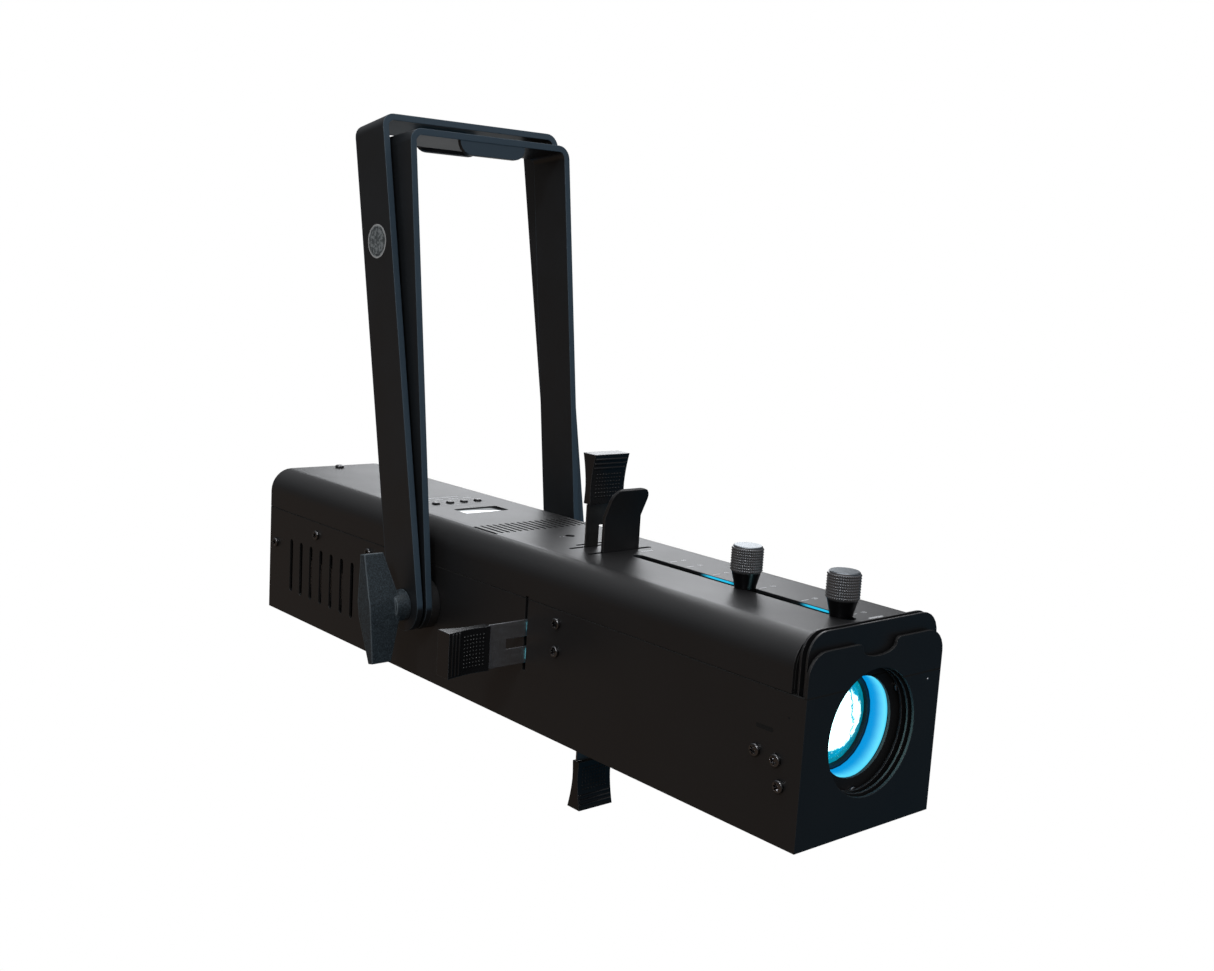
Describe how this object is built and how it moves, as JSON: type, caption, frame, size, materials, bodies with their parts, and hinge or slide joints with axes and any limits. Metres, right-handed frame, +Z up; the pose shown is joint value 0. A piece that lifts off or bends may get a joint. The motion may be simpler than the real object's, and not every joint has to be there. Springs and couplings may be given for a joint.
{
  "type": "ellipsoidal spotlight",
  "caption": "Ellipsoidal stage spotlight in a black box housing, with two tilting yokes, framing shutters, a gobo holder, sliding focus lenses and a colour frame.",
  "frame": {"origin": "middle of the clamp hole on the top face of the outer yoke's crossbar", "axes": "+X along the beam, out of the front; +Y to the left seen along the beam; +Z up"},
  "size_m": [0.5193, 0.2112, 0.3997],
  "materials": {
    "powder_coat": "satin black textured powder coat",
    "yoke_coat": "satin blue-black powder coat",
    "bright_steel": "bare rolled steel",
    "grip_plastic": "moulded black, matt",
    "knob_plastic": "grainy blue-black moulding",
    "knurled_metal": "knurled and black anodised",
    "aluminium": "plain turned and extruded",
    "black_aluminium": "black anodised",
    "optical_glass": "polished",
    "circuit_board": "lacquered board",
    "display_panel": "clear and glossy",
    "socket_plastic": "smooth black moulding",
    "supply_case": "folded cover over filled electronics",
    "fibre_washer": "hard fibre",
    "black_screw": "black oxide, oiled"
  },
  "bodies": {
    "outer_yoke": {"outer_yoke": "yoke_coat", "left_friction_washer": "fibre_washer", "right_friction_washer": "fibre_washer"},
    "housing": {"condenser_barrel": "aluminium", "condenser_lens": "optical_glass", "control_board": "circuit_board", "display_module": "circuit_board", "display_window": "display_panel", "dmx_input": "socket_plastic", "dmx_output": "socket_plastic", "fan_frame": "grip_plastic", "front_bulkhead": "powder_coat", "fuse_holder": "socket_plastic", "gate_front_plate": "powder_coat", "gate_rear_plate": "powder_coat", "heatsink": "aluminium", "led_board": "aluminium", "left_front_screw": "black_screw", "left_guide_rod": "bright_steel", "left_pivot_insert": "bright_steel", "left_spacer": "black_aluminium", "lens_bay_plate": "powder_coat", "lower_housing": "powder_coat", "power_inlet": "socket_plastic", "power_supply": "supply_case", "rear_panel": "powder_coat", "right_front_screw": "black_screw", "right_guide_rod": "bright_steel", "right_pivot_insert": "bright_steel", "right_spacer": "black_aluminium", "top_cover": "powder_coat", "top_rear_screw": "black_screw"},
    "inner_yoke": {"inner_yoke": "yoke_coat"},
    "left_tilt_knob": {"left_tilt_knob": "knob_plastic"},
    "right_tilt_knob": {"right_tilt_knob": "knob_plastic"},
    "top_shutter": {"top_shutter_blade": "bright_steel", "top_shutter_grip": "grip_plastic"},
    "bottom_shutter": {"bottom_shutter_blade": "bright_steel", "bottom_shutter_grip": "grip_plastic"},
    "left_shutter": {"left_shutter_blade": "bright_steel", "left_shutter_grip": "grip_plastic"},
    "right_shutter": {"right_shutter_blade": "bright_steel", "right_shutter_grip": "grip_plastic"},
    "gobo_holder": {"gobo_holder": "powder_coat", "gobo_disc": "bright_steel"},
    "gel_frame": {"gel_frame": "powder_coat"},
    "front_lens_carriage": {"front_lens_carriage": "black_aluminium", "front_lens": "optical_glass", "front_lens_ring": "black_aluminium"},
    "rear_lens_carriage": {"rear_lens_carriage": "black_aluminium", "rear_lens": "optical_glass", "rear_lens_ring": "black_aluminium"},
    "front_lens_knob": {"front_lens_knob": "knurled_metal"},
    "rear_lens_knob": {"rear_lens_knob": "knurled_metal"},
    "menu_button_1": {"menu_button_1": "grip_plastic"},
    "menu_button_2": {"menu_button_2": "grip_plastic"},
    "menu_button_3": {"menu_button_3": "grip_plastic"},
    "menu_button_4": {"menu_button_4": "grip_plastic"},
    "fan_rotor": {"fan_rotor": "grip_plastic"}
  },
  "joints": [
    {"name": "tilt", "type": "hinge", "parent": "outer_yoke", "child": "housing", "pos_m": [0.05814, 0, -0.29095], "axis": [0, 1, 0], "range_deg": [-40, 180]},
    {"name": "inner_yoke_swing", "type": "hinge", "parent": "outer_yoke", "child": "inner_yoke", "pos_m": [0.05814, 0, -0.29095], "axis": [0, 1, 0], "range_deg": [-3, 39]},
    {"name": "left_tilt_knob_turn", "type": "hinge", "parent": "housing", "child": "left_tilt_knob", "pos_m": [0.05814, 0.08, -0.29095], "axis": [0, 1, 0], "continuous": true},
    {"name": "right_tilt_knob_turn", "type": "hinge", "parent": "housing", "child": "right_tilt_knob", "pos_m": [0.05814, -0.08, -0.29095], "axis": [0, -1, 0], "continuous": true},
    {"name": "top_shutter_slide", "type": "slide", "parent": "housing", "child": "top_shutter", "axis": [0, 0, 1], "range_m": [-0.02, 0.006]},
    {"name": "bottom_shutter_slide", "type": "slide", "parent": "housing", "child": "bottom_shutter", "axis": [0, 0, -1], "range_m": [-0.02, 0.006]},
    {"name": "left_shutter_slide", "type": "slide", "parent": "housing", "child": "left_shutter", "axis": [0, 1, 0], "range_m": [-0.02, 0.006]},
    {"name": "right_shutter_slide", "type": "slide", "parent": "housing", "child": "right_shutter", "axis": [0, -1, 0], "range_m": [-0.02, 0.006]},
    {"name": "gobo_holder_lift", "type": "slide", "parent": "housing", "child": "gobo_holder", "axis": [0, 0, 1], "range_m": [0, 0.08]},
    {"name": "gel_frame_lift", "type": "slide", "parent": "housing", "child": "gel_frame", "axis": [0, 0, 1], "range_m": [0, 0.095]},
    {"name": "front_lens_focus", "type": "slide", "parent": "housing", "child": "front_lens_carriage", "axis": [1, 0, 0], "range_m": [-0.024, 0.0008]},
    {"name": "rear_lens_focus", "type": "slide", "parent": "housing", "child": "rear_lens_carriage", "axis": [1, 0, 0], "range_m": [-0.078, 0.012]},
    {"name": "front_lens_knob_turn", "type": "hinge", "parent": "front_lens_carriage", "child": "front_lens_knob", "pos_m": [0.34194, 0, -0.23945], "axis": [0, 0, 1], "range_deg": [0, 360]},
    {"name": "rear_lens_knob_turn", "type": "hinge", "parent": "rear_lens_carriage", "child": "rear_lens_knob", "pos_m": [0.27754, 0, -0.23945], "axis": [0, 0, 1], "range_deg": [0, 360]},
    {"name": "menu_button_1_press", "type": "slide", "parent": "housing", "child": "menu_button_1", "axis": [0, 0, -1], "range_m": [0, 0.0009], "stiffness_N_per_m": 200},
    {"name": "menu_button_2_press", "type": "slide", "parent": "housing", "child": "menu_button_2", "axis": [0, 0, -1], "range_m": [0, 0.0009], "stiffness_N_per_m": 200},
    {"name": "menu_button_3_press", "type": "slide", "parent": "housing", "child": "menu_button_3", "axis": [0, 0, -1], "range_m": [0, 0.0009], "stiffness_N_per_m": 200},
    {"name": "menu_button_4_press", "type": "slide", "parent": "housing", "child": "menu_button_4", "axis": [0, 0, -1], "range_m": [0, 0.0009], "stiffness_N_per_m": 200},
    {"name": "fan_spin", "type": "hinge", "parent": "housing", "child": "fan_rotor", "pos_m": [-0.02036, 0, -0.29265], "axis": [1, 0, 0], "continuous": true}
  ]
}
